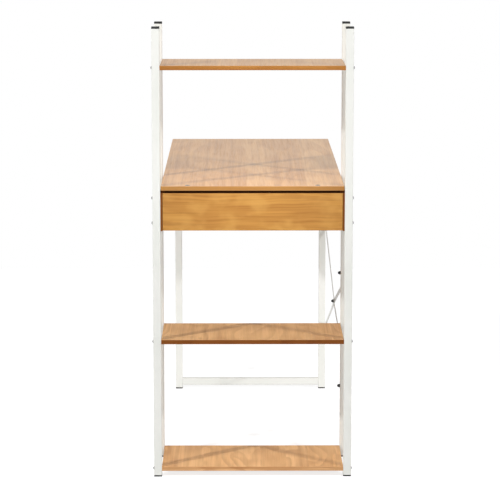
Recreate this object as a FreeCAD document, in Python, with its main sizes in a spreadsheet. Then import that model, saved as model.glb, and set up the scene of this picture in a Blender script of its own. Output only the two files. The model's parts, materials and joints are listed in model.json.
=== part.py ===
"""Ladder desk: a tall shelf ladder of four square posts that carries one end of a desktop.

Frame: millimetres, +Z up, +X to the right and +Y from the ladder to the leg frame. The origin is on the
floor, under the middle of the desktop. The drawer opens towards -Y.
"""
import math
import os
import re

import FreeCAD
import Part
import Sketcher
from FreeCAD import Placement, Rotation, Vector

SIZES = {
    # whole desk
    "overall_width": 500,
    "overall_height": 1140,
    "desk_length": 1050,
    "desk_height": 744,
    "ladder_depth": 220,
    # square tube, and the plastic plugs in its ends
    "tube_size": 20,
    "tube_wall": 1.2,
    "tube_corner": 1.5,
    "cap_height": 5,
    "foot_height": 4,
    "cap_edge": 1,
    "plug_length": 8,
    "plug_clearance": 0.15,
    # boards
    "board": 11,
    "board_edge": 0.3,
    "desktop_side_gap": 1.3,
    "top_shelf_drop": 96,
    "middle_shelf_height": 354,
    "bottom_shelf_height": 26,
    # leg frame under the far end of the desktop
    "leg_inset": 28,
    "leg_overhang": 18,
    "crossbar_height": 11,
    "flange_thickness": 3,
    "flange_width": 45,
    "flange_height": 30,
    "rail_screw_setback": 120,
    "rail_screw_bite": 8,
    # drawer box under the near end of the desktop
    "box_height": 102,
    "box_bolt_inset": 19.5,
    "tongue_gap": 0.5,
    "stretcher_width": 60,
    # drawer
    "drawer_front_height": 94,
    "drawer_front_gap": 6.4,
    "drawer_side_reveal": 5.5,
    "drawer_closing_gap": 1.5,
    "drawer_back_gap": 6,
    "drawer_top_gap": 4.8,
    "drawer_bottom": 3,
    "groove_depth": 5,
    "groove_height": 6,
    "groove_clearance": 0.15,
    # roller runners
    "runner_sheet": 1.2,
    "runner_height": 24,
    "runner_edge_gap": 1.3,
    "runner_side_gap": 0.7,
    "runner_lift": 12,
    "runner_end_gap": 1.5,
    "drawer_rail_height": 20,
    "drawer_rail_edge_gap": 2.3,
    "drawer_rail_lip": 9,
    "drawer_rail_end_gap": 2,
    "roller_diameter": 18,
    "roller_width": 6,
    "roller_edge": 1,
    "roller_inset": 12,
    "rolling_clearance": 0.3,
    "axle_diameter": 5,
    "axle_clearance": 0.05,
    "axle_shoulder": 2,
    "axle_shoulder_diameter": 9,
    "axle_head": 0.8,
    "axle_head_diameter": 8,
    # bolts, inserts and nuts
    "bolt_diameter": 5,
    "bolt_clearance": 0.3,
    "bolt_head_diameter": 9.5,
    "bolt_head_height": 2.7,
    "low_head_diameter": 13,
    "low_head_height": 1.3,
    "socket_width": 3,
    "socket_depth": 1.2,
    "insert_diameter": 8,
    "insert_length": 13,
    "insert_cover": 0.6,
    "insert_clearance": 0.05,
    "desktop_bolt_tip": 3,
    "desktop_bolt_edge": 6.5,
    "desktop_bolt_inset": 67,
    "nut_width": 8,
    "nut_height": 4,
    "nut_dome_step": 0.3,
    "nut_dome_height": 3.6,
    "nut_engagement": 5,
    "screw_diameter": 3.5,
    "screw_length": 12,
    "screw_head_diameter": 7,
    "screw_head_height": 1.6,
    "screw_inset": 9,
    # cross brace on the right side
    "brace_width": 12,
    "brace_thickness": 1.5,
    "brace_low": 189,
    "brace_high": 489,
    "brace_bow": 6,
    "brace_flat": 20,
}

# Places worked out from the sizes, as expressions.
HALF_INNER = "(overall_width / 2 - tube_size)"
POST_X = "(overall_width / 2 - tube_size / 2)"
LEG_OUTER_X = "(overall_width / 2 - leg_inset)"
LEG_X = f"({LEG_OUTER_X} - tube_size / 2)"
FRONT_Y = "(-desk_length / 2)"
FRONT_POST_Y = f"({FRONT_Y} + tube_size / 2)"
REAR_POST_Y = f"({FRONT_Y} + ladder_depth - tube_size / 2)"
LADDER_REAR_Y = f"({FRONT_Y} + ladder_depth)"
LEG_Y = "(desk_length / 2 - leg_overhang - tube_size / 2)"
DESK_UNDERSIDE = "(desk_height - board)"

BOX_BOTTOM = f"({DESK_UNDERSIDE} - box_height)"
BOX_FRONT_Y = f"({FRONT_Y} + board + drawer_closing_gap)"
TONGUE_FRONT_Y = f"({FRONT_Y} + drawer_closing_gap)"
BOX_HALF_INNER = f"({HALF_INNER} - board)"
BOX_TONGUE = "(drawer_side_reveal - tongue_gap)"
SHORT_INSERT = f"({BOX_TONGUE} - insert_cover)"
BOX_BOLTS_Z = [f"({DESK_UNDERSIDE} - box_bolt_inset)", f"({BOX_BOTTOM} + box_bolt_inset)"]
SHELVES = {"top_shelf": "(overall_height - top_shelf_drop)", "middle_shelf": "middle_shelf_height",
           "bottom_shelf": "bottom_shelf_height"}
SHELF_BOLTS_Z = [f"({height} - board / 2)" for height in SHELVES.values()]

RUNNER_STACK = "(axle_shoulder + roller_width + 2 * rolling_clearance + axle_head)"
RUNNER_GAP = f"(2 * runner_sheet + {RUNNER_STACK} + runner_side_gap)"
RUNNER_FLANGE = f"({RUNNER_GAP} - runner_sheet - runner_edge_gap)"
RAIL_FLANGE = f"({RUNNER_GAP} - runner_sheet - drawer_rail_edge_gap)"
RUNNER_Z = f"({BOX_BOTTOM} + runner_lift)"
RUNNER_FRONT_Y = f"({BOX_FRONT_Y} + runner_end_gap)"
RUNNER_LENGTH = "(ladder_depth - 2 * board - drawer_closing_gap - 2 * runner_end_gap)"
ROLLER_Z = f"({RUNNER_Z} + runner_sheet + rolling_clearance + roller_diameter / 2)"
RAIL_TOP = f"({ROLLER_Z} + roller_diameter / 2 + rolling_clearance + runner_sheet)"
RAIL_BOTTOM = f"({RAIL_TOP} - drawer_rail_height)"

DRAWER_Y = f"({FRONT_Y} + board)"
DRAWER_LENGTH = "(ladder_depth - 2 * board - drawer_back_gap)"
DRAWER_HALF = f"({BOX_HALF_INNER} - {RUNNER_GAP})"
DRAWER_Z = f"({RAIL_BOTTOM} + runner_sheet)"
DRAWER_SIDE_HEIGHT = f"({DESK_UNDERSIDE} - board - drawer_top_gap - {DRAWER_Z})"
DRAWER_FLOOR = f"({DRAWER_Z} + groove_height)"
RAIL_FRONT_Y = f"({DRAWER_Y} + drawer_rail_end_gap)"
RAIL_LENGTH = f"({DRAWER_LENGTH} - 2 * drawer_rail_end_gap)"

BRACE_RUN = f"({LEG_Y} - {REAR_POST_Y})"
BRACE_RISE = "(brace_high - brace_low)"
BRACE_MID_Y = f"(({LEG_Y} + {REAR_POST_Y}) / 2)"
BRACE_MID_Z = "((brace_low + brace_high) / 2)"
BRACE_MID_X = f"({LEG_OUTER_X} + leg_inset / 2 - brace_bow)"
BRACE_START_X = f"({LEG_OUTER_X} - leg_inset)"
BRACE_REACH = "(3 * leg_inset)"

BOLT_BORE = "(bolt_diameter / 2 + bolt_clearance)"
THREAD_BORE = "(bolt_diameter / 2 + insert_clearance)"
INSERT_BORE = "(insert_diameter / 2 + insert_clearance)"
SCREW_BORE = "(screw_diameter / 2 + insert_clearance)"
DESKTOP_BOLT_X = f"({HALF_INNER} - desktop_bolt_inset)"
DESKTOP_BOLT_Y = f"({BOX_FRONT_Y} + desktop_bolt_edge)"
FLANGE_REAR_Y = f"({LADDER_REAR_Y} + flange_thickness)"
FLANGE_X = f"({LEG_OUTER_X} - flange_width)"
FLANGE_SCREW_X = f"({FLANGE_X} + screw_inset)"
FLANGE_SCREWS_Z = [f"({DESK_UNDERSIDE} - screw_inset)", f"({DESK_UNDERSIDE} - flange_height + screw_inset)"]
FLANGE_SCREW_BITE = "(screw_length - flange_thickness)"
RAIL_UNDERSIDE = f"({DESK_UNDERSIDE} - tube_size)"
RAIL_AXIS_Z = f"({DESK_UNDERSIDE} - tube_size / 2)"
RAIL_SCREWS_Y = [f"({FLANGE_REAR_Y} + rail_screw_setback)", f"({LEG_Y} - rail_screw_setback)"]

SIDES = {"left": "-", "right": ""}
POST_ENDS = {"front": FRONT_POST_Y, "rear": REAR_POST_Y}
OUTWARD = {"left": Rotation(Vector(0, 1, 0), -90), "right": Rotation(Vector(0, 1, 0), 90)}
ALONG = {"X": Rotation(Vector(0, 1, 0), 90), "Y": Rotation(Vector(1, 0, 0), -90), "Z": Rotation()}
DOWNWARD = Rotation(Vector(1, 0, 0), 180)
PAD_PLANES = {"X": "YZ_Plane", "Y": "XZ_Plane", "Z": "XY_Plane"}

doc = FreeCAD.newDocument("ladder_desk")
sheet = doc.addObject("Spreadsheet::Sheet", "Sizes")
for row, (alias, value) in enumerate(SIZES.items(), start=1):
    sheet.set(f"A{row}", alias)
    sheet.set(f"B{row}", str(value))
    sheet.setAlias(f"B{row}", alias)
doc.recompute()

nodes = {}


def cells(text):
    """The expression with each size's name turned into its cell."""
    return re.sub(r"[a-z_]+", lambda m: f"Sizes.{m.group()}" if m.group() in SIZES else m.group(), text)


def value_of(text):
    """The number that an expression of the sizes comes to."""
    return float(sheet.evalExpression(text))


def bind(obj, **properties):
    """Ties properties of an object to expressions of the sizes."""
    for name, text in properties.items():
        obj.setExpression(name, cells(text))
    return obj


def place(obj, x, y, z, rotation=None):
    """Puts an object's own origin at (x, y, z), turned by a fixed rotation."""
    if rotation:
        obj.Placement = Placement(Vector(), rotation)
    for axis, text in zip("xyz", (x, y, z)):
        obj.setExpression(f"Placement.Base.{axis}", cells(text))
    return obj


def keep(label, obj):
    """Names a finished sub-part."""
    obj.Label = label
    nodes[label] = obj
    return obj


def outline(sketch, points):
    """Draws a closed outline through points given as pairs of expressions, none of them negative."""
    first = sketch.GeometryCount
    count = len(points)
    corners = [Vector(value_of(x), value_of(y), 0) for x, y in points]
    for index in range(count):
        sketch.addGeometry(Part.LineSegment(corners[index], corners[(index + 1) % count]))
    for index, pair in enumerate(points):
        line = first + index
        sketch.addConstraint(Sketcher.Constraint("Coincident", line, 1, first + (index - 1) % count, 2))
        for kind, text, axis in (("DistanceX", pair[0], -2), ("DistanceY", pair[1], -1)):
            if text == "0":
                sketch.addConstraint(Sketcher.Constraint("PointOnObject", line, 1, axis))
            else:
                at = corners[index].x if kind == "DistanceX" else corners[index].y
                number = sketch.addConstraint(Sketcher.Constraint(kind, -1, 1, line, 1, at))
                sketch.setExpression(f"Constraints[{number}]", cells(text))


def rectangle(width, height, inset="0"):
    """Corner points of a rectangle that starts at (inset, inset)."""
    return [(inset, inset), (f"{width} - {inset}", inset), (f"{width} - {inset}", f"{height} - {inset}"),
            (inset, f"{height} - {inset}")]


def sketch_on(body, role):
    """A new sketch on one of a body's own origin planes."""
    sketch = body.newObject("Sketcher::SketchObject", f"{body.Name}_profile")
    plane = next(item for item in body.Origin.OriginFeatures if item.Role == role)
    sketch.AttachmentSupport = [(plane, "")]
    sketch.MapMode = "FlatFace"
    return sketch


def prism(name, axis, length, *outlines):
    """A body whose outlines are padded along +X, +Y or +Z from its own origin."""
    body = doc.addObject("PartDesign::Body", name)
    sketch = sketch_on(body, PAD_PLANES[axis])
    for points in outlines:
        outline(sketch, points)
    pad = body.newObject("PartDesign::Pad", f"{name}_pad")
    pad.Profile = sketch
    pad.Reversed = axis == "Y"
    bind(pad, Length=length)
    doc.recompute()
    return body


def edges_of(feature, chosen):
    """Names of the feature's edges that the chooser takes."""
    return [f"Edge{index}" for index, edge in enumerate(feature.Shape.Edges, start=1) if chosen(edge)]


def round_edges(body, radius, chosen):
    """Rounds the chosen edges of a body."""
    base = body.Tip
    fillet = body.newObject("PartDesign::Fillet", f"{body.Name}_round")
    fillet.Base = (base, edges_of(base, chosen))
    bind(fillet, Radius=radius)
    doc.recompute()
    return body


def bevel_edges(body, size, chosen=lambda edge: True):
    """Takes a small bevel off the chosen edges of a body, or off all of them."""
    base = body.Tip
    bevel = body.newObject("PartDesign::Chamfer", f"{body.Name}_bevel")
    bevel.Base = (base, edges_of(base, chosen))
    bind(bevel, Size=size)
    doc.recompute()
    return body


def cylinder(name, axis, radius, length, x, y, z):
    """A cylinder that starts at (x, y, z) and runs along a row axis."""
    rod = doc.addObject("Part::Cylinder", name)
    bind(rod, Radius=radius, Height=length)
    return place(rod, x, y, z, ALONG[axis])


def group(name, members):
    """Several solids as one object."""
    compound = doc.addObject("Part::Compound", name)
    compound.Links = members
    return compound


def cut(name, base, tools):
    """The base with its holes and recesses taken out."""
    result = doc.addObject("Part::Cut", name)
    result.Base = base
    result.Tool = group(f"{name}_tools", tools) if len(tools) > 1 else tools[0]
    return result


def fuse(name, members):
    """Pieces of one solid joined together."""
    result = doc.addObject("Part::MultiFuse", name)
    result.Shapes = members
    return result


def copies(label, prototype, places):
    """A group of like solids, one at each (x, y, z, rotation)."""
    links = []
    for index, (x, y, z, rotation) in enumerate(places, start=1):
        link = doc.addObject("App::Link", f"{label}_{index}")
        link.LinkedObject = prototype
        links.append(place(link, x, y, z, rotation))
    return keep(label, group(label, links))


def mirrored(label, source):
    """The left twin of a right-hand piece."""
    twin = doc.addObject("Part::Mirroring", label)
    twin.Source = source
    twin.Normal = Vector(1, 0, 0)
    return keep(label, twin)


def tube(name, axis, length, x, y, z):
    """A square tube whose axis starts at (x, y, z) and runs along a row axis."""
    outer = rectangle("tube_size", "tube_size")
    inner = rectangle("tube_size", "tube_size", "tube_wall")
    body = prism(name, axis, length, outer, inner)
    along = ALONG[axis].multVec(Vector(0, 0, 1))
    half = sheet.tube_size / 2
    middle = Vector(half, half, half) - along * half
    mid_wall_corner = (sheet.tube_size - sheet.tube_wall) / math.sqrt(2)

    def outer_corner(edge):
        across = edge.CenterOfMass - middle
        across = across - along * across.dot(along)
        return edge.Length > sheet.tube_size and across.Length > mid_wall_corner

    round_edges(body, "tube_corner", outer_corner)
    corner = [text if letter == axis else f"{text} - tube_size / 2" for letter, text in zip("XYZ", (x, y, z))]
    return place(body, *corner)


def board(name, axis, thickness, width, height, x, y, z):
    """A board with eased edges: its thickness runs along axis, its lowest corner is at (x, y, z)."""
    body = prism(name, axis, thickness, rectangle(width, height))
    return place(bevel_edges(body, "board_edge"), x, y, z)


def post_bores(name, sign, y, heights, x=POST_X):
    """Clearance holes for bolts, across a post or leg."""
    start = f"{sign}{x} - tube_size / 2"
    return [cylinder(f"{name}_bore_{index}", "X", BOLT_BORE, "tube_size", start, y, z)
            for index, z in enumerate(heights, start=1)]


def end_plug(label, height, x, y, z, turned):
    """A plastic plug in a tube's end: a square head with an eased rim, and a stem inside the tube."""
    head = prism(f"{label}_head", "Z", height, rectangle("tube_size", "tube_size"))
    middle = value_of(height) / 2
    round_edges(head, "cap_edge", lambda edge: edge.CenterOfMass.z > middle)
    stem_size = "(tube_size - 2 * tube_wall - 2 * plug_clearance)"
    stem = prism(f"{label}_stem", "Z", "plug_length", rectangle(stem_size, stem_size))
    place(stem, "tube_wall + plug_clearance", "tube_wall + plug_clearance", "-plug_length")
    plug = fuse(label, [head, stem])
    if turned:
        place(plug, f"{x} - tube_size / 2", f"{y} + tube_size / 2", z, DOWNWARD)
    else:
        place(plug, f"{x} - tube_size / 2", f"{y} - tube_size / 2", z)
    return keep(label, plug)


def make_ladder_posts():
    """Four posts with their caps and feet."""
    for side, sign in SIDES.items():
        for end, y in POST_ENDS.items():
            label = f"{end}_post_{side}"
            length = "overall_height - cap_height - foot_height"
            post = tube(f"{label}_tube", "Z", length, f"{sign}{POST_X}", y, "foot_height")
            heights = SHELF_BOLTS_Z + BOX_BOLTS_Z
            if label == "rear_post_right":
                heights = heights + ["brace_low", "brace_high"]
            keep(label, cut(label, post, post_bores(label, sign, y, heights)))
            cap_z = "overall_height - cap_height"
            end_plug(f"{end}_cap_{side}", "cap_height", f"{sign}{POST_X}", y, cap_z, False)
            end_plug(f"{end}_foot_{side}", "foot_height", f"{sign}{POST_X}", y, "foot_height", True)


def make_shelves():
    """Three shelves between the posts, bored at both ends for threaded inserts."""
    for label, height in SHELVES.items():
        blank = board(f"{label}_board", "Z", "board", f"2 * {HALF_INNER}", "ladder_depth",
                      f"-{HALF_INNER}", FRONT_Y, f"{height} - board")
        bores = []
        for side, start in (("left", f"-{HALF_INNER}"), ("right", f"{HALF_INNER} - insert_length")):
            for end, y in POST_ENDS.items():
                bores.append(cylinder(f"{label}_{end}_{side}", "X", INSERT_BORE, "insert_length",
                                      start, y, f"{height} - board / 2"))
        keep(label, cut(label, blank, bores))


def make_desktop():
    """The desktop, from the ladder's front to past the leg frame: bolted to the stretcher and the rails."""
    half = f"({HALF_INNER} - desktop_side_gap)"
    blank = board("desktop_board", "Z", "board", f"2 * {half}", "desk_length",
                  f"-{half}", FRONT_Y, DESK_UNDERSIDE)
    bores = desktop_bores("desktop", DESK_UNDERSIDE)
    for side, sign in SIDES.items():
        bores += rail_screw_bores(f"desktop_{side}", f"{sign}{LEG_X}", DESK_UNDERSIDE, "rail_screw_bite")
    keep("desktop", cut("desktop", blank, bores))


def desktop_bores(name, z):
    """Two upright holes for the bolts through the desktop's near end."""
    return [cylinder(f"{name}_bore_{side}", "Z", THREAD_BORE, "board",
                     f"{sign}{DESKTOP_BOLT_X}", DESKTOP_BOLT_Y, z) for side, sign in SIDES.items()]


def rail_screw_bores(name, x, z, length):
    """Upright holes for the screws that hold the desktop to one rail."""
    return [cylinder(f"{name}_screw_{index}", "Z", SCREW_BORE, length, x, y, z)
            for index, y in enumerate(RAIL_SCREWS_Y, start=1)]


def make_leg_frame():
    """Two legs with feet, joined by a crossbar near the floor and one under the desktop."""
    for side, sign in SIDES.items():
        x = f"{sign}{LEG_X}"
        leg = tube(f"leg_{side}_tube", "Z", f"{DESK_UNDERSIDE} - foot_height", x, LEG_Y, "foot_height")
        if side == "right":
            bores = post_bores("leg_right", sign, LEG_Y, ["brace_low", "brace_high"], LEG_X)
            leg = cut("leg_right_bored", leg, bores)
        keep(f"leg_{side}", leg)
        end_plug(f"leg_foot_{side}", "foot_height", x, LEG_Y, "foot_height", True)
    for name, bar_z in (("lower", "crossbar_height + tube_size / 2"), ("upper", RAIL_AXIS_Z)):
        half = f"({LEG_X} - tube_size / 2)"
        keep(f"{name}_crossbar", tube(f"{name}_bar_tube", "X", f"2 * {half}", f"-{half}", LEG_Y, bar_z))


def make_desk_rails():
    """A rail under each side of the desktop, and the flange that holds it to the back of the drawer box."""
    length = f"{LEG_Y} - tube_size / 2 - {FLANGE_REAR_Y}"
    rail = tube("rail_tube", "Y", length, LEG_X, FLANGE_REAR_Y, RAIL_AXIS_Z)
    bores = rail_screw_bores("rail", LEG_X, RAIL_UNDERSIDE, "tube_size")
    right = keep("desk_rail_right", cut("desk_rail_right", rail, bores))
    mirrored("desk_rail_left", right)

    plate = prism("flange_plate", "Y", "flange_thickness", rectangle("flange_width", "flange_height"))
    place(plate, FLANGE_X, LADDER_REAR_Y, f"{DESK_UNDERSIDE} - flange_height")
    bores = flange_screw_bores("flange", FLANGE_SCREW_X, LADDER_REAR_Y, "flange_thickness")
    right = keep("rail_flange_right", cut("rail_flange_right", plate, bores))
    mirrored("rail_flange_left", right)


def flange_screw_bores(name, x, y, length):
    """Level holes for the screws of one rail flange."""
    return [cylinder(f"{name}_screw_{index}", "Y", SCREW_BORE, length, x, y, z)
            for index, z in enumerate(FLANGE_SCREWS_Z, start=1)]


def make_drawer_box():
    """Side panels between the posts, a back panel and a stretcher under the desktop.

    Each side panel thins to a tongue beside the drawer front, where the front post is bolted to it. The tongue
    is as tall as the drawer front, so the gap under the desktop runs from post to post.
    """
    shoulder = f"(board - {BOX_TONGUE})"
    depth = f"({LADDER_REAR_Y} - {TONGUE_FRONT_Y})"
    section = [(shoulder, "0"), ("board", "0"), ("board", depth), ("0", depth), ("0", "board"),
               (shoulder, "board")]
    panel = bevel_edges(prism("box_side_board", "Z", "box_height", section), "board_edge")
    place(panel, BOX_HALF_INNER, TONGUE_FRONT_Y, BOX_BOTTOM)
    bores = []
    for end, y in POST_ENDS.items():
        for index, z in enumerate(BOX_BOLTS_Z, start=1):
            bores.append(cylinder(f"box_side_{end}_{index}", "X", INSERT_BORE, SHORT_INSERT,
                                  f"{HALF_INNER} - {SHORT_INSERT}", y, z))
    notch = prism("tongue_notch", "Z", "drawer_front_gap", rectangle(BOX_TONGUE, "board"))
    place(notch, f"{HALF_INNER} - {BOX_TONGUE}", TONGUE_FRONT_Y, f"{DESK_UNDERSIDE} - drawer_front_gap")
    right = keep("box_side_right", cut("box_side_right", panel, bores + [notch]))
    mirrored("box_side_left", right)

    width = f"2 * {BOX_HALF_INNER}"
    back = board("box_back_board", "Y", "board", width, "box_height",
                 f"-{BOX_HALF_INNER}", f"{LADDER_REAR_Y} - board", BOX_BOTTOM)
    holes = []
    for side, sign in SIDES.items():
        holes += flange_screw_bores(f"box_back_{side}", f"{sign}{FLANGE_SCREW_X}",
                                    f"{LADDER_REAR_Y} - {FLANGE_SCREW_BITE}", FLANGE_SCREW_BITE)
    keep("box_back", cut("box_back", back, holes))

    bar_z = f"{DESK_UNDERSIDE} - board"
    bar = board("stretcher_board", "Z", "board", width, "stretcher_width",
                f"-{BOX_HALF_INNER}", BOX_FRONT_Y, bar_z)
    keep("box_stretcher", cut("box_stretcher", bar, desktop_bores("stretcher", bar_z)))


def make_drawer():
    """A handle-less front that overlaps the box, two grooved sides, a back and a thin bottom."""
    front_half = f"({HALF_INNER} - drawer_side_reveal)"
    front_z = f"{DESK_UNDERSIDE} - drawer_front_gap - drawer_front_height"
    front = board("drawer_front_board", "Y", "board", f"2 * {front_half}", "drawer_front_height",
                  f"-{front_half}", FRONT_Y, front_z)
    keep("drawer_front", front)

    side = board("drawer_side_board", "X", "board", DRAWER_LENGTH, DRAWER_SIDE_HEIGHT,
                 f"{DRAWER_HALF} - board", DRAWER_Y, DRAWER_Z)
    groove_face = rectangle("groove_depth", "(drawer_bottom + 2 * groove_clearance)")
    groove = prism("drawer_groove", "Y", DRAWER_LENGTH, groove_face)
    place(groove, f"{DRAWER_HALF} - board", DRAWER_Y, f"{DRAWER_FLOOR} - groove_clearance")
    right = keep("drawer_side_right", cut("drawer_side_right", side, [groove]))
    mirrored("drawer_side_left", right)

    inner_half = f"({DRAWER_HALF} - board)"
    back_z = f"({DRAWER_FLOOR} + drawer_bottom)"
    back_height = f"{DRAWER_SIDE_HEIGHT} - groove_height - drawer_bottom"
    back = board("drawer_back_board", "Y", "board", f"2 * {inner_half}", back_height,
                 f"-{inner_half}", f"{DRAWER_Y} + {DRAWER_LENGTH} - board", back_z)
    keep("drawer_back", back)

    floor_half = f"({inner_half} + groove_depth - groove_clearance)"
    floor = prism("drawer_floor", "Z", "drawer_bottom", rectangle(f"2 * {floor_half}", DRAWER_LENGTH))
    keep("drawer_bottom", place(floor, f"-{floor_half}", DRAWER_Y, DRAWER_FLOOR))


def make_runners():
    """Angle runners on the box, drawer rails under the drawer's sides, and the rollers between them."""
    web = f"({RUNNER_FLANGE} - runner_sheet)"
    angle_section = [("0", "0"), (RUNNER_FLANGE, "0"), (RUNNER_FLANGE, "runner_height"),
                     (web, "runner_height"), (web, "runner_sheet"), ("0", "runner_sheet")]
    angle = prism("runner_angle", "Y", RUNNER_LENGTH, angle_section)
    place(angle, f"{BOX_HALF_INNER} - {RUNNER_FLANGE}", RUNNER_FRONT_Y, RUNNER_Z)
    keep("box_runner_right", angle)
    mirrored("box_runner_left", angle)

    lip = "drawer_rail_lip"
    outer_web = "(drawer_rail_lip + runner_sheet)"
    flange_edge = f"(drawer_rail_lip + {RAIL_FLANGE})"
    flange_z = "(drawer_rail_height - runner_sheet)"
    rail_section = [("0", "0"), (outer_web, "0"), (outer_web, flange_z), (flange_edge, flange_z),
                    (flange_edge, "drawer_rail_height"), (lip, "drawer_rail_height"), (lip, "runner_sheet"),
                    ("0", "runner_sheet")]
    rail = prism("drawer_rail", "Y", RAIL_LENGTH, rail_section)
    place(rail, f"{DRAWER_HALF} - drawer_rail_lip", RAIL_FRONT_Y, RAIL_BOTTOM)
    keep("drawer_rail_right", rail)
    mirrored("drawer_rail_left", rail)

    box_web_x = f"({BOX_HALF_INNER} - runner_sheet)"
    rail_web_x = f"({DRAWER_HALF} + runner_sheet)"
    stations = (("box", box_web_x, f"{RUNNER_FRONT_Y} + roller_inset", OUTWARD["left"]),
                ("drawer", rail_web_x, f"{RAIL_FRONT_Y} + {RAIL_LENGTH} - roller_inset", OUTWARD["right"]))
    for owner, web_x, y, facing in stations:
        axle = place(axle_pin(f"{owner}_axle"), web_x, y, ROLLER_Z, facing)
        keep(f"{owner}_axle_right", axle)
        mirrored(f"{owner}_axle_left", axle)
        sign = "-" if owner == "box" else "+"
        hub_x = f"{web_x} {sign} (axle_shoulder + rolling_clearance)"
        wheel = place(roller(f"{owner}_roller"), hub_x, y, ROLLER_Z, facing)
        keep(f"{owner}_roller_right", wheel)
        mirrored(f"{owner}_roller_left", wheel)


def axle_pin(name):
    """A riveted axle along +Z: a shoulder, the bearing length and a head that keeps the roller on."""
    bearing = "(roller_width + 2 * rolling_clearance)"
    steps = (("shoulder", "axle_shoulder_diameter / 2", "axle_shoulder", "0"),
             ("bearing", "axle_diameter / 2", bearing, "axle_shoulder"),
             ("head", "axle_head_diameter / 2", "axle_head", f"axle_shoulder + {bearing}"))
    return fuse(name, [cylinder(f"{name}_{step}", "Z", radius, length, "0", "0", z)
                       for step, radius, length, z in steps])


def roller(name):
    """A nylon roller that turns about +Z, with eased rims and a bore for its axle."""
    bore = "(axle_diameter / 2 + axle_clearance)"
    rim = "(roller_diameter / 2)"
    body = doc.addObject("PartDesign::Body", name)
    sketch = sketch_on(body, "XZ_Plane")
    outline(sketch, [(bore, "0"), (rim, "0"), (rim, "roller_width"), (bore, "roller_width")])
    turn = body.newObject("PartDesign::Revolution", f"{name}_turn")
    turn.Profile = sketch
    turn.ReferenceAxis = (sketch, ["V_Axis"])
    turn.Angle = 360
    doc.recompute()
    hub = sheet.axle_diameter

    def on_rim(edge):
        return hasattr(edge.Curve, "Radius") and edge.Curve.Radius > hub

    return bevel_edges(body, "roller_edge", on_rim)


def bolt(name, diameter, length, head, head_height):
    """A bolt along -Z from its head's seat, with a domed head and a hexagon socket."""
    shank = cylinder(f"{name}_shank", "Z", f"{diameter} / 2", length, "0", "0", f"-{length}")
    dome = dome_cap(f"{name}_dome", head, head_height, "0")
    socket = doc.addObject("Part::Prism", f"{name}_socket")
    socket.Polygon = 6
    bind(socket, Circumradius="socket_width / sqrt(3)", Height="socket_depth")
    place(socket, "0", "0", f"{head_height} - socket_depth")
    return cut(name, fuse(f"{name}_solid", [shank, dome]), [socket])


def button_bolt(name, length):
    """A bolt with a small, round head."""
    return bolt(name, "bolt_diameter", length, "bolt_head_diameter", "bolt_head_height")


def low_bolt(name, length):
    """A bolt with a wide, low head."""
    return bolt(name, "bolt_diameter", length, "low_head_diameter", "low_head_height")


def screw(name, length):
    """A pan-headed screw."""
    return bolt(name, "screw_diameter", length, "screw_head_diameter", "screw_head_height")


def dome_cap(name, diameter, height, z):
    """The cap of a sphere, standing on a disc of the given diameter at height z."""
    radius = f"(({diameter}^2 / 4 + {height}^2) / (2 * {height}))"
    dome = doc.addObject("Part::Sphere", name)
    bind(dome, Radius=radius, Angle1=f"asin(({radius} - {height}) / {radius})")
    return place(dome, "0", "0", f"{z} + {height} - {radius}")


def insert(name, length):
    """A threaded insert along -Z from the board's face."""
    sleeve = cylinder(f"{name}_sleeve", "Z", "insert_diameter / 2", length, "0", "0", f"-{length}")
    bore = cylinder(f"{name}_bore", "Z", THREAD_BORE, length, "0", "0", f"-{length}")
    return cut(name, sleeve, [bore])


def cap_nut(name):
    """A closed nut along +Z: a hexagon with a dome, bored from below."""
    hexagon = doc.addObject("Part::Prism", f"{name}_hexagon")
    hexagon.Polygon = 6
    bind(hexagon, Circumradius="nut_width / sqrt(3)", Height="nut_height")
    dome = dome_cap(f"{name}_dome", "(nut_width - nut_dome_step)", "nut_dome_height", "nut_height")
    bore = cylinder(f"{name}_bore", "Z", THREAD_BORE, "nut_engagement", "0", "0", "0")
    return cut(name, fuse(f"{name}_solid", [hexagon, dome]), [bore])


def make_fasteners():
    """Bolts through the posts with their inserts, desktop bolts, flange screws and rail screws."""
    fixings = (("shelf", SHELF_BOLTS_Z, "insert_length"), ("box", BOX_BOLTS_Z, SHORT_INSERT))
    for owner, heights, depth in fixings:
        button = button_bolt(f"{owner}_bolt", f"(tube_size + {depth})")
        sleeve = insert(f"{owner}_insert", depth)
        heads = []
        seats = []
        for side, sign in SIDES.items():
            for y in POST_ENDS.values():
                heads += [(f"{sign}overall_width / 2", y, z, OUTWARD[side]) for z in heights]
                seats += [(f"{sign}{HALF_INNER}", y, z, OUTWARD[side]) for z in heights]
        copies(f"{owner}_bolts", button, heads)
        copies(f"{owner}_inserts", sleeve, seats)

    signs = SIDES.values()
    top_bolt = low_bolt("top_bolt", "(2 * board - desktop_bolt_tip)")
    copies("desktop_bolts", top_bolt,
           [(f"{sign}{DESKTOP_BOLT_X}", DESKTOP_BOLT_Y, "desk_height", None) for sign in signs])

    copies("flange_screws", screw("flange_screw", "screw_length"),
           [(f"{sign}{FLANGE_SCREW_X}", FLANGE_REAR_Y, z, ALONG["Y"])
            for sign in signs for z in FLANGE_SCREWS_Z])
    copies("rail_screws", screw("rail_screw", "(tube_size + rail_screw_bite)"),
           [(f"{sign}{LEG_X}", y, RAIL_UNDERSIDE, DOWNWARD) for sign in signs for y in RAIL_SCREWS_Y])


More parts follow.
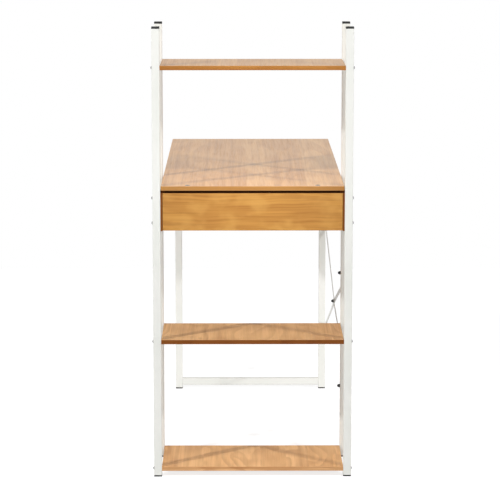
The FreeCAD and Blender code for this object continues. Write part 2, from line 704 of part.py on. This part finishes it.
def make_brace():
    """Two flat strips that cross on the right side, bowed in to meet at one bolt."""
    strips = (("brace_strip_rising", "brace_low", "brace_high", "1", "0"),
              ("brace_strip_falling", "brace_high", "brace_low", "-1", "brace_thickness"))
    for label, at_post, at_leg, slope, layer in strips:
        strip = doc.addObject("Part::Common", f"{label}_strip")
        strip.Base = brace_sheet(label, layer)
        strip.Tool = brace_bar(label, at_post, at_leg, slope)
        centres = ((REAR_POST_Y, at_post), (LEG_Y, at_leg), (BRACE_MID_Y, BRACE_MID_Z))
        holes = [cylinder(f"{label}_hole_{index}", "X", BOLT_BORE, BRACE_REACH, BRACE_START_X, y, z)
                 for index, (y, z) in enumerate(centres, start=1)]
        keep(label, cut(label, strip, holes))

    heads = []
    seats = []
    for face_x, y in (("overall_width / 2", REAR_POST_Y), (LEG_OUTER_X, LEG_Y)):
        for z in ("brace_low", "brace_high"):
            heads.append((f"{face_x} + brace_thickness", y, z, OUTWARD["right"]))
            seats.append((f"{face_x} - tube_size", y, z, OUTWARD["left"]))
    copies("brace_bolts", low_bolt("brace_end_bolt", "(brace_thickness + tube_size + nut_engagement)"), heads)

    head = (f"{BRACE_MID_X} + 2 * brace_thickness", BRACE_MID_Y, BRACE_MID_Z, OUTWARD["right"])
    copies("brace_centre_bolt", low_bolt("brace_mid_bolt", "(2 * brace_thickness + nut_engagement)"), [head])
    seats.append((BRACE_MID_X, BRACE_MID_Y, BRACE_MID_Z, OUTWARD["left"]))
    copies("brace_nuts", cap_nut("brace_nut"), seats)


def brace_sheet(label, layer):
    """The strip's bends seen from above: flat on the post, at the crossing and on the leg."""
    flat = "(2 * brace_flat)"
    mid_x = f"(leg_inset / 2 - brace_bow + {layer})"
    bends = [("leg_inset", "0"), ("leg_inset", flat),
             (mid_x, f"{BRACE_RUN} / 2"), (mid_x, f"{BRACE_RUN} / 2 + {flat}"),
             ("0", BRACE_RUN), ("0", f"{BRACE_RUN} + {flat}")]
    outer = [(f"{x} + brace_thickness", y) for x, y in reversed(bends)]
    form = prism(f"{label}_bends", "Z", f"{BRACE_RISE} + 2 * brace_width", bends + outer)
    return place(form, LEG_OUTER_X, f"{REAR_POST_Y} - brace_flat", "brace_low - brace_width")


def brace_bar(label, at_post, at_leg, slope):
    """The strip's outline seen from the side: a bar with round ends about its two bolts."""
    angle = f"({slope} * atan({BRACE_RISE} / {BRACE_RUN}))"
    bar = doc.addObject("Part::Box", f"{label}_bar")
    bind(bar, Length=BRACE_REACH, Width=f"sqrt({BRACE_RUN}^2 + {BRACE_RISE}^2)", Height="brace_width")
    bar.Placement = Placement(Vector(), Rotation(Vector(1, 0, 0), 1))
    bar.setExpression("Placement.Rotation.Angle", cells(angle))
    low_y = f"{REAR_POST_Y} + brace_width / 2 * sin({angle})"
    low_z = f"{at_post} - brace_width / 2 * cos({angle})"
    place(bar, BRACE_START_X, low_y, low_z)
    ends = [cylinder(f"{label}_{name}_end", "X", "brace_width / 2", BRACE_REACH, BRACE_START_X, y, z)
            for name, y, z in (("post", REAR_POST_Y, at_post), ("leg", LEG_Y, at_leg))]
    return fuse(f"{label}_outline", [bar] + ends)


def check_and_export():
    """Stops on any failed object, then writes one file for each sub-part."""
    doc.recompute()
    failed = [obj.Name for obj in doc.Objects if {"Invalid", "Error"} & set(obj.State)]
    if failed:
        raise RuntimeError(f"failed objects: {failed}")
    for label, obj in nodes.items():
        if obj.Shape.isNull() or not obj.Shape.isValid() or not obj.Shape.Solids:
            raise RuntimeError(f"bad shape: {label}")
    os.makedirs("parts", exist_ok=True)
    for label, obj in nodes.items():
        obj.Shape.exportStep(f"parts/{label}.step")
        print(f"{label}: {len(obj.Shape.Solids)} solids, {obj.Shape.Volume:.0f} mm3")


make_ladder_posts()
make_shelves()
make_desktop()
make_leg_frame()
make_desk_rails()
make_drawer_box()
make_drawer()
make_runners()
make_fasteners()
make_brace()
check_and_export()
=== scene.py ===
"""Looks of the ladder desk: its materials, light, floor and camera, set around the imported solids.

Everything is in metres, in the frame of the solids: +X right, +Y from the ladder to the leg frame, +Z up.
"""
import collections
import json
import math

import bpy
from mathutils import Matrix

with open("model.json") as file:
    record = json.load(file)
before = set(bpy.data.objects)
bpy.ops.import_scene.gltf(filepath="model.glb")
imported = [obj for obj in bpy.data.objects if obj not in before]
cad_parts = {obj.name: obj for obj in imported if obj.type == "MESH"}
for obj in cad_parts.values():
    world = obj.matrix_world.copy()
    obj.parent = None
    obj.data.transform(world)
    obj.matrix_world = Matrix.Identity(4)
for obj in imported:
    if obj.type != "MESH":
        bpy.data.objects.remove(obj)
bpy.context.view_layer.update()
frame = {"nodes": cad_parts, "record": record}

# The photograph's view. Pitch and yaw are in degrees, the lens and the sensor in millimetres.
CAMERA_PLACE = (-0.0359, -6.1252, 1.4965)
CAMERA_PITCH = -9.26
CAMERA_YAW = 0.30
CAMERA_LENS = 163.4
SENSOR_WIDTH = 36.0
CLIP_END = 100.0

WHITE = (1.0, 1.0, 1.0, 1.0)
AMBIENT = 0.35
FLOOR_HALF = 2.6
FLOOR_COLOUR = (0.5, 0.5, 0.5, 1.0)
FLOOR_GLOW = 0.78
LAMPS = {
    # name: (place, aim, width, watts)
    "lamp_left": ((-2.64, -2.6, 2.8), (0.0, -0.3, 0.6), 0.15, 87.0),
    "lamp_right": ((2.58, -2.65, 2.8), (0.0, -0.3, 0.6), 0.2, 61.0),
    "lamp_front": ((0.0, -1.45, 2.05), (0.0, -0.5, 0.9), 0.8, 1.6),
}
SPOTS = {
    # name: (place, aim, radius, watts, cone in degrees)
    "low_left": ((-1.6, -0.33, 0.2), (-0.2, 0.49, 0.16), 0.2, 25.0, 41.0),
    "low_right": ((1.6, -0.33, 0.2), (0.2, 0.49, 0.16), 0.2, 41.0, 41.0),
    "near_desk": ((0.0, -1.9, 2.0), (0.0, -0.45, 0.744), 0.12, 48.0, 16.0),
    "shelves_left": ((-0.06, -1.25, 2.1), (-0.06, -0.43, 0.03), 0.3, 41.0, 12.0),
    "shelves_right": ((0.06, -1.25, 2.1), (0.06, -0.43, 0.03), 0.3, 41.0, 12.0),
    "low_front": ((0.0, -1.9, 0.45), (0.0, -0.5, 0.05), 0.15, 9.5, 24.0),
}
SPOT_BLEND = 1.0


def srgb(red, green, blue):
    """A colour given as 0 to 255 display values, for a shader."""
    def linear(level):
        level = level / 255.0
        return level / 12.92 if level <= 0.04045 else ((level + 0.055) / 1.055) ** 2.4
    return (linear(red), linear(green), linear(blue), 1.0)


# Wood colours: light, middle and dark.
OAK = (srgb(232, 184, 126), srgb(214, 162, 104), srgb(168, 112, 62))
GOLDEN = (srgb(226, 168, 84), srgb(212, 150, 66), srgb(176, 112, 42))

# The share of the board's colour that each edge band keeps, in red, green and blue.
PALE_BAND = (0.92, 0.9, 1.0)
PLAIN_BAND = (0.72, 0.63, 0.46)
RED_BAND = (0.86, 0.64, 0.35)
BROWN_BAND = (0.37, 0.21, 0.09)
# A near-black band: painted shade for the gap under the desktop.
PAINTED_SHADE_BAND = (0.18, 0.1, 0.04)

# Wood figure: scales are across and along the grain, per metre, and the rest are counts or strengths.
PLANKED = {
    "planks": 14.0, "plank_mix": (0.25, 0.85), "waver": 0.012, "waver_scale": (3.0, 1.6),
    "rings": 8.0, "ring_scale": (8.0, 0.9),
    "stripe_scale": (75.0, 0.8), "cloud_scale": (7.0, 5.0),
    "stripe": 0.34, "gleam": 0.45, "late_wood": 0.22, "cloud": 0.3,
}
ARCHED = {**PLANKED, "rings": 7.0, "ring_scale": (12.0, 4.0), "late_wood": 0.42, "cloud": 0.35}
WHOLE = {
    "planks": 9.0, "plank_mix": (0.0, 1.0), "waver": 0.022, "waver_scale": (9.0, 6.0),
    "rings": 6.0, "ring_scale": (14.0, 2.5),
    "stripe_scale": (190.0, 5.0), "cloud_scale": (24.0, 16.0),
    "stripe": 0.62, "gleam": 0.45, "late_wood": 0.35, "cloud": 0.6,
}

# Marks that all boards share, with the same kind of scales and strengths.
FIBRE_SCALE = (420.0, 9.0)
FIBRE_STRENGTH = 0.2
FIBRE_HEIGHT = 0.4
PORE_SCALE = (1000.0, 45.0)
PORE_STRENGTH = 0.22
PLANK_LAYERS = 9.0

# The noise levels between which each mark sets in.
PLANK_LEVELS = (0.1, 0.9)
RING_RISE = (0.1, 0.85)
RING_FALL = (1.0, 0.85)
STRIPE_LEVELS = (0.42, 0.7)
GLEAM_LEVELS = (0.45, 0.25)
FIBRE_LEVELS = (0.4, 0.75)
CLOUD_LEVELS = (0.42, 0.68)
PORE_LEVELS = (0.66, 0.74)
GLOSS_LEVELS = (0.3, 0.8)
MIDDLE_LEVELS = (0.3, 0.7)

# A surface fades into a board's broad face, or its end, as its normal along that axis grows between these.
FACE_TURN = (0.6, 0.8)
# The turn of the normal, as a cosine, over which an edge counts as sharp.
EDGE_TURN = (0.995, 0.9)
EDGE_SAMPLES = 4
BOARD_EDGE = 0.0012
COAT_EDGE = 0.0012
PLASTIC_EDGE = 0.0008
STEEL_EDGE = 0.0004
# Wear along edges: two levels of the cloudy noise, and the wear at each.
BOARD_WEAR = (0.4, 0.7, 0.1, 0.6)
COAT_WEAR = (0.35, 0.7, 0.05, 0.4)
RUBBED = (1.25, 1.25, 1.25, 1.0)
BAND_SHINE = 0.15
FACE_SHINE = 0.5

# Boards: the axes of the broad face and the grain, a shift that keeps neighbours different, the tone,
# which brightens or darkens each board for the light it gets (painted light and shade), the edge band, the
# roughness, the figure and the colours.
Board = collections.namedtuple("Board", "face grain shift tone band roughness figure colours")
BOARDS = {
    "top_shelf": Board("Z", "Y", 0.31, 0.79, RED_BAND, 0.41, PLANKED, OAK),
    "desktop": Board("Z", "Y", 0.0, 1.03, PLAIN_BAND, 0.38, PLANKED, OAK),
    "middle_shelf": Board("Z", "Y", 0.72, 0.95, BROWN_BAND, 0.62, ARCHED, OAK),
    "bottom_shelf": Board("Z", "Y", 1.13, 1.06, PALE_BAND, 0.62, ARCHED, OAK),
    # The drawer front's near-black edges are painted shade for the gap under the desktop's front edge.
    "drawer_front": Board("Y", "X", 1.7, 0.86, PAINTED_SHADE_BAND, 0.45, WHOLE, GOLDEN),
    # The box sides' brown edges and lower tone are painted shade for the recessed strips beside the drawer
    # front.
    "box_side_left": Board("X", "Y", 2.2, 0.9, BROWN_BAND, 0.5, PLANKED, OAK),
    "box_side_right": Board("X", "Y", 2.6, 0.9, BROWN_BAND, 0.5, PLANKED, OAK),
    "box_back": Board("Y", "X", 3.1, 0.95, PLAIN_BAND, 0.5, PLANKED, OAK),
    # The stretcher's low tone and near-black edge are painted shade for the recess seen through the gap
    # above the drawer front.
    "box_stretcher": Board("Z", "X", 3.5, 0.6, PAINTED_SHADE_BAND, 0.55, PLANKED, OAK),
    "drawer_side_left": Board("X", "Y", 3.9, 0.95, PLAIN_BAND, 0.5, PLANKED, OAK),
    "drawer_side_right": Board("X", "Y", 4.3, 0.95, PLAIN_BAND, 0.5, PLANKED, OAK),
    "drawer_back": Board("Y", "X", 4.8, 0.95, PLAIN_BAND, 0.5, PLANKED, OAK),
}


class Graph:
    """The node tree of a material or world, built by short calls that give back output sockets."""

    def __init__(self, owner, output_kind="ShaderNodeOutputMaterial"):
        owner.use_nodes = True
        self.owner = owner
        self.tree = owner.node_tree
        self.tree.nodes.clear()
        self.output = self.add(output_kind)

    def add(self, kind, **settings):
        node = self.tree.nodes.new(kind)
        for name, value in settings.items():
            setattr(node, name, value)
        return node

    def feed(self, socket, value):
        """Links a socket, or sets a plain value."""
        if isinstance(value, bpy.types.NodeSocket):
            self.tree.links.new(value, socket)
        else:
            socket.default_value = value

    def surface(self, shader):
        self.feed(self.output.inputs["Surface"], shader)

    def principled(self, **inputs):
        """The main shader: input names have _ for a space."""
        node = self.add("ShaderNodeBsdfPrincipled")
        for name, value in inputs.items():
            self.feed(node.inputs[name.replace("_", " ")], value)
        self.surface(node.outputs["BSDF"])

    def maths(self, operation, *values):
        node = self.add("ShaderNodeMath", operation=operation)
        for socket, value in zip(node.inputs, values):
            self.feed(socket, value)
        return node.outputs["Value"]

    def coordinates(self):
        """Place and normal in the object's own frame, each as three sockets by axis letter."""
        texture = self.add("ShaderNodeTexCoord")
        parts = []
        for name in ("Object", "Normal"):
            split = self.add("ShaderNodeSeparateXYZ")
            self.feed(split.inputs["Vector"], texture.outputs[name])
            parts.append({axis: split.outputs[axis] for axis in "XYZ"})
        return parts

    def vector(self, x, y, z):
        node = self.add("ShaderNodeCombineXYZ")
        for socket, value in zip(node.inputs, (x, y, z)):
            self.feed(socket, value)
        return node.outputs["Vector"]

    def place(self):
        return self.add("ShaderNodeTexCoord").outputs["Object"]

    def noise(self, vector, scale=1.0, detail=2.0, roughness=0.5, distortion=0.0):
        node = self.add("ShaderNodeTexNoise")
        for name, value in (("Vector", vector), ("Scale", scale), ("Detail", detail),
                            ("Roughness", roughness), ("Distortion", distortion)):
            self.feed(node.inputs[name], value)
        return node.outputs["Fac"]

    def cells(self, along, scale):
        """Two random numbers for each stretch of a line."""
        node = self.add("ShaderNodeTexVoronoi", voronoi_dimensions="1D")
        self.feed(node.inputs["W"], along)
        self.feed(node.inputs["Scale"], scale)
        split = self.add("ShaderNodeSeparateColor")
        self.feed(split.inputs["Color"], node.outputs["Color"])
        return split.outputs["Red"], split.outputs["Green"]

    def remap(self, value, low, high, to_low=0.0, to_high=1.0):
        """Eases a number from one range to another."""
        node = self.add("ShaderNodeMapRange", interpolation_type="SMOOTHSTEP")
        for socket, item in zip(node.inputs, (value, low, high, to_low, to_high)):
            self.feed(socket, item)
        return node.outputs["Result"]

    def blend(self, factor, first, second):
        """Mixes two numbers."""
        node = self.add("ShaderNodeMix", data_type="FLOAT")
        for name, value in (("Factor", factor), ("A", first), ("B", second)):
            self.feed(node.inputs[name], value)
        return node.outputs["Result"]

    def tint(self, factor, first, second, blend_type="MIX"):
        """Mixes two colours."""
        node = self.add("ShaderNodeMix", data_type="RGBA", blend_type=blend_type)
        names = {socket.identifier: socket for socket in node.inputs}
        for name, value in (("Factor_Float", factor), ("A_Color", first), ("B_Color", second)):
            self.feed(names[name], value)
        return next(socket for socket in node.outputs if socket.identifier == "Result_Color")

    def shade(self, colour, share):
        """Multiplies a colour by a share of red, green and blue."""
        return self.tint(1.0, colour, share, "MULTIPLY")

    def bump(self, height, distance, strength):
        node = self.add("ShaderNodeBump")
        for name, value in (("Height", height), ("Distance", distance), ("Strength", strength)):
            self.feed(node.inputs[name], value)
        return node.outputs["Normal"]

    def edges(self, radius):
        """1 along sharp edges, falling to 0 on flat faces."""
        bevel = self.add("ShaderNodeBevel", samples=EDGE_SAMPLES)
        self.feed(bevel.inputs["Radius"], radius)
        geometry = self.add("ShaderNodeNewGeometry")
        turn = self.add("ShaderNodeVectorMath", operation="DOT_PRODUCT")
        self.feed(turn.inputs[0], bevel.outputs["Normal"])
        self.feed(turn.inputs[1], geometry.outputs["Normal"])
        return self.remap(turn.outputs["Value"], *EDGE_TURN)


def oak(name, board):
    """Oak-pattern laminate: planks side by side, ring figure in each, fine pores, a plain edge band."""
    graph = Graph(bpy.data.materials.new(name))
    figure = board.figure
    light, middle, dark = board.colours
    place, normal = graph.coordinates()
    across_axis = next(axis for axis in "XYZ" if axis not in (board.face, board.grain))
    on_face = graph.remap(graph.maths("ABSOLUTE", normal[board.face]), *FACE_TURN)
    on_end = graph.remap(graph.maths("ABSOLUTE", normal[board.grain]), *FACE_TURN)
    along = graph.blend(on_end, place[board.grain], place[across_axis])
    flat_across = graph.blend(on_face, place[board.face], place[across_axis])
    along = graph.maths("ADD", along, board.shift)

    def spread(across, across_scale, along_scale, layer=0.0):
        return graph.vector(graph.maths("MULTIPLY", across, across_scale),
                            graph.maths("MULTIPLY", along, along_scale), layer)

    waver = graph.noise(spread(flat_across, *figure["waver_scale"]), detail=1.0)
    across = graph.maths("MULTIPLY_ADD", waver, figure["waver"], flat_across)
    tone, offset = graph.cells(graph.maths("ADD", across, board.shift), figure["planks"])
    layer = graph.maths("MULTIPLY", offset, PLANK_LAYERS)
    rings = graph.noise(spread(across, *figure["ring_scale"], layer), detail=1.0, roughness=0.4,
                        distortion=0.25)
    ring = graph.maths("FRACT", graph.maths("MULTIPLY", rings, figure["rings"]))
    late_wood = graph.maths("MULTIPLY", graph.remap(ring, *RING_RISE), graph.remap(ring, *RING_FALL))
    stripe = graph.noise(spread(across, *figure["stripe_scale"], layer), roughness=0.55)
    fibre = graph.noise(spread(across, *FIBRE_SCALE, layer), detail=3.0, roughness=0.6)
    pores = graph.remap(graph.noise(spread(across, *PORE_SCALE), detail=1.0), *PORE_LEVELS)
    cloud = graph.noise(spread(across, *figure["cloud_scale"], board.shift))

    colour = graph.tint(graph.remap(tone, *PLANK_LEVELS, *figure["plank_mix"]), middle, light)
    colour = graph.tint(graph.remap(stripe, *STRIPE_LEVELS, 0.0, figure["stripe"]), colour, dark)
    colour = graph.tint(graph.remap(stripe, *GLEAM_LEVELS, 0.0, figure["gleam"]), colour, light)
    colour = graph.tint(graph.maths("MULTIPLY", late_wood, figure["late_wood"]), colour, dark)
    colour = graph.tint(graph.remap(fibre, *FIBRE_LEVELS, 0.0, FIBRE_STRENGTH), colour, dark)
    colour = graph.tint(graph.remap(cloud, *CLOUD_LEVELS, 0.0, figure["cloud"]), colour, light)
    colour = graph.tint(graph.maths("MULTIPLY", pores, PORE_STRENGTH), colour, dark)
    # The board's tone scales its colour up or down for the light it gets: painted light and shade.
    colour = graph.shade(colour, (board.tone, board.tone, board.tone, 1.0))
    # Edges take the board's band. The drawer front's, the stretcher's and the box sides' bands are painted
    # shade.
    colour = graph.tint(on_face, graph.shade(colour, (*board.band, 1.0)), colour)
    worn = graph.maths("MULTIPLY", graph.edges(BOARD_EDGE), graph.remap(cloud, *BOARD_WEAR))
    colour = graph.tint(worn, colour, graph.shade(colour, RUBBED))

    gloss = graph.remap(fibre, *GLOSS_LEVELS, board.roughness - 0.05, board.roughness + 0.06)
    height = graph.maths("SUBTRACT", graph.maths("MULTIPLY", fibre, FIBRE_HEIGHT), pores)
    graph.principled(Base_Color=colour, Roughness=gloss,
                     Specular_IOR_Level=graph.blend(on_face, BAND_SHINE, FACE_SHINE),
                     Normal=graph.bump(height, distance=0.00012, strength=0.5))
    return graph.owner


def powder_coat():
    """White powder coat: a faint orange-peel skin, slightly thinner and greyer along the edges."""
    graph = Graph(bpy.data.materials.new("white_powder_coat"))
    place = graph.place()
    skin = graph.noise(place, scale=1100.0, roughness=0.55)
    cloud = graph.noise(place, scale=9.0)
    colour = graph.tint(graph.remap(cloud, *MIDDLE_LEVELS), srgb(238, 239, 233), srgb(243, 243, 238))
    colour = graph.tint(graph.remap(skin, 0.62, 0.8, 0.0, 0.25), colour, srgb(222, 223, 218))
    worn = graph.maths("MULTIPLY", graph.edges(COAT_EDGE), graph.remap(cloud, *COAT_WEAR))
    colour = graph.tint(worn, colour, srgb(214, 215, 211))
    graph.principled(Base_Color=colour, Roughness=graph.remap(skin, *MIDDLE_LEVELS, 0.36, 0.5),
                     Normal=graph.bump(skin, distance=0.00008, strength=0.35))
    return graph.owner


def moulded(name, base, pale, gloss, grain):
    """Moulded plastic with a fine grain and paler, rubbed edges."""
    graph = Graph(bpy.data.materials.new(name))
    place = graph.place()
    skin = graph.noise(place, scale=grain, detail=3.0, roughness=0.6)
    cloud = graph.noise(place, scale=60.0)
    colour = graph.tint(graph.remap(skin, 0.35, 0.75, 0.0, 0.5), base, pale)
    colour = graph.tint(graph.maths("MULTIPLY", graph.edges(PLASTIC_EDGE), cloud), colour, pale)
    graph.principled(Base_Color=colour,
                     Roughness=graph.remap(cloud, *MIDDLE_LEVELS, gloss - 0.06, gloss + 0.08),
                     Normal=graph.bump(skin, distance=0.0001, strength=0.5))
    return graph.owner


def plated(name, base, pale, gloss):
    """Plated steel: cloudy plating, fine drawing marks and brighter edges."""
    graph = Graph(bpy.data.materials.new(name))
    place = graph.place()
    cloud = graph.noise(place, scale=140.0, detail=3.0)
    marks = graph.noise(place, scale=2200.0, roughness=0.6)
    colour = graph.tint(graph.remap(cloud, *MIDDLE_LEVELS), base, pale)
    colour = graph.tint(graph.maths("MULTIPLY", graph.edges(STEEL_EDGE), 0.5), colour, pale)
    graph.principled(Base_Color=colour, Metallic=1.0,
                     Roughness=graph.remap(cloud, *MIDDLE_LEVELS, gloss - 0.05, gloss + 0.1),
                     Normal=graph.bump(marks, distance=0.00004, strength=0.4))
    return graph.owner


def hardboard():
    """Thin brown fibreboard: pressed fibres in cloudy patches."""
    graph = Graph(bpy.data.materials.new("drawer_hardboard"))
    place = graph.place()
    fibres = graph.noise(place, scale=480.0, detail=4.0, roughness=0.7, distortion=0.6)
    cloud = graph.noise(place, scale=22.0)
    colour = graph.tint(graph.remap(fibres, *MIDDLE_LEVELS), srgb(150, 112, 74), srgb(178, 138, 95))
    colour = graph.tint(graph.remap(cloud, *MIDDLE_LEVELS, 0.0, 0.35), colour, srgb(138, 98, 62))
    graph.principled(Base_Color=colour, Roughness=graph.remap(fibres, *MIDDLE_LEVELS, 0.5, 0.68),
                     Normal=graph.bump(fibres, distance=0.00015, strength=0.5))
    return graph.owner


def dress():
    """Gives every solid the material of its slot in the record, and each board its own laminate."""
    finishes = {
        "white_powder_coat": powder_coat(),
        "black_plastic": moulded("black_plastic", srgb(14, 14, 14), srgb(32, 32, 32), gloss=0.62,
                                 grain=1500.0),
        "drawer_hardboard": hardboard(),
        "zinc_steel": plated("zinc_steel", srgb(186, 188, 190), srgb(214, 216, 218), gloss=0.32),
        "nylon": moulded("nylon", srgb(226, 225, 217), srgb(240, 239, 232), gloss=0.42, grain=900.0),
        "dark_steel": plated("dark_steel", srgb(104, 104, 106), srgb(150, 150, 152), gloss=0.3),
        "black_steel": plated("black_steel", srgb(46, 46, 48), srgb(84, 84, 86), gloss=0.34),
    }
    slots = {part["node"]: part["material_slot"] for part in frame["record"]["subparts"]}
    for node, obj in frame["nodes"].items():
        if node in BOARDS:
            finish = oak(f"oak_{node}", BOARDS[node])
        else:
            finish = finishes[slots[node]]
        if not obj.material_slots:
            obj.data.materials.append(finish)
        for slot in obj.material_slots:
            slot.material = finish


def seen_straight(graph):
    """1 for the rays that show a background: the camera's own, and those in gloss or glass."""
    rays = graph.add("ShaderNodeLightPath")
    seen = graph.maths("MAXIMUM", rays.outputs["Is Camera Ray"], rays.outputs["Is Glossy Ray"])
    return graph.maths("MAXIMUM", seen, rays.outputs["Is Transmission Ray"])


def make_floor():
    """A white floor that keeps the desk's shadow."""
    mesh = bpy.data.meshes.new("floor")
    corners = [(x * FLOOR_HALF, y * FLOOR_HALF, 0.0) for x, y in ((-1, -1), (1, -1), (1, 1), (-1, 1))]
    mesh.from_pydata(corners, [], [(0, 1, 2, 3)])
    floor = bpy.data.objects.new("floor", mesh)
    bpy.context.scene.collection.objects.link(floor)
    graph = Graph(bpy.data.materials.new("floor"))
    matte = graph.add("ShaderNodeBsdfDiffuse")
    graph.feed(matte.inputs["Color"], FLOOR_COLOUR)
    glow = graph.add("ShaderNodeEmission")
    graph.feed(glow.inputs["Strength"], graph.maths("MULTIPLY", seen_straight(graph), FLOOR_GLOW))
    both = graph.add("ShaderNodeAddShader")
    graph.feed(both.inputs[0], matte.outputs["BSDF"])
    graph.feed(both.inputs[1], glow.outputs["Emission"])
    graph.surface(both.outputs["Shader"])
    mesh.materials.append(graph.owner)


def make_world():
    """Even white light, and pure white behind the desk."""
    world = bpy.data.worlds.new("studio")
    bpy.context.scene.world = world
    graph = Graph(world, "ShaderNodeOutputWorld")
    background = graph.add("ShaderNodeBackground")
    graph.feed(background.inputs["Color"], WHITE)
    graph.feed(background.inputs["Strength"], graph.blend(seen_straight(graph), AMBIENT, 1.0))
    graph.surface(background.outputs["Background"])


def hang(name, light, place, aim, watts):
    """Puts a lamp in the scene, turned to a point."""
    light.energy = watts
    lamp = bpy.data.objects.new(name, light)
    lamp.location = place
    across, away, down = (to - at for to, at in zip(aim, place))
    lamp.rotation_euler = (math.atan2(math.hypot(across, away), -down), 0.0, math.atan2(-across, away))
    bpy.context.scene.collection.objects.link(lamp)


def make_lamps():
    """Lamps in front of the ladder, and spots on the leg frame, the near desktop and the lower shelves."""
    for name, (place, aim, width, watts) in LAMPS.items():
        light = bpy.data.lights.new(name, "AREA")
        light.shape = "DISK"
        light.size = width
        hang(name, light, place, aim, watts)
    for name, (place, aim, radius, watts, cone) in SPOTS.items():
        light = bpy.data.lights.new(name, "SPOT")
        light.shadow_soft_size = radius
        light.spot_size = math.radians(cone)
        light.spot_blend = SPOT_BLEND
        hang(name, light, place, aim, watts)


def make_camera():
    """The photograph's own view."""
    lens = bpy.data.cameras.new("camera")
    lens.sensor_width = SENSOR_WIDTH
    lens.lens = CAMERA_LENS
    lens.clip_end = CLIP_END
    camera = bpy.data.objects.new("camera", lens)
    camera.location = CAMERA_PLACE
    camera.rotation_euler = (math.radians(90.0 + CAMERA_PITCH), 0.0, math.radians(-CAMERA_YAW))
    bpy.context.scene.collection.objects.link(camera)
    bpy.context.scene.camera = camera


dress()
make_floor()
make_world()
make_lamps()
make_camera()
bpy.context.scene.view_settings.view_transform = "Standard"
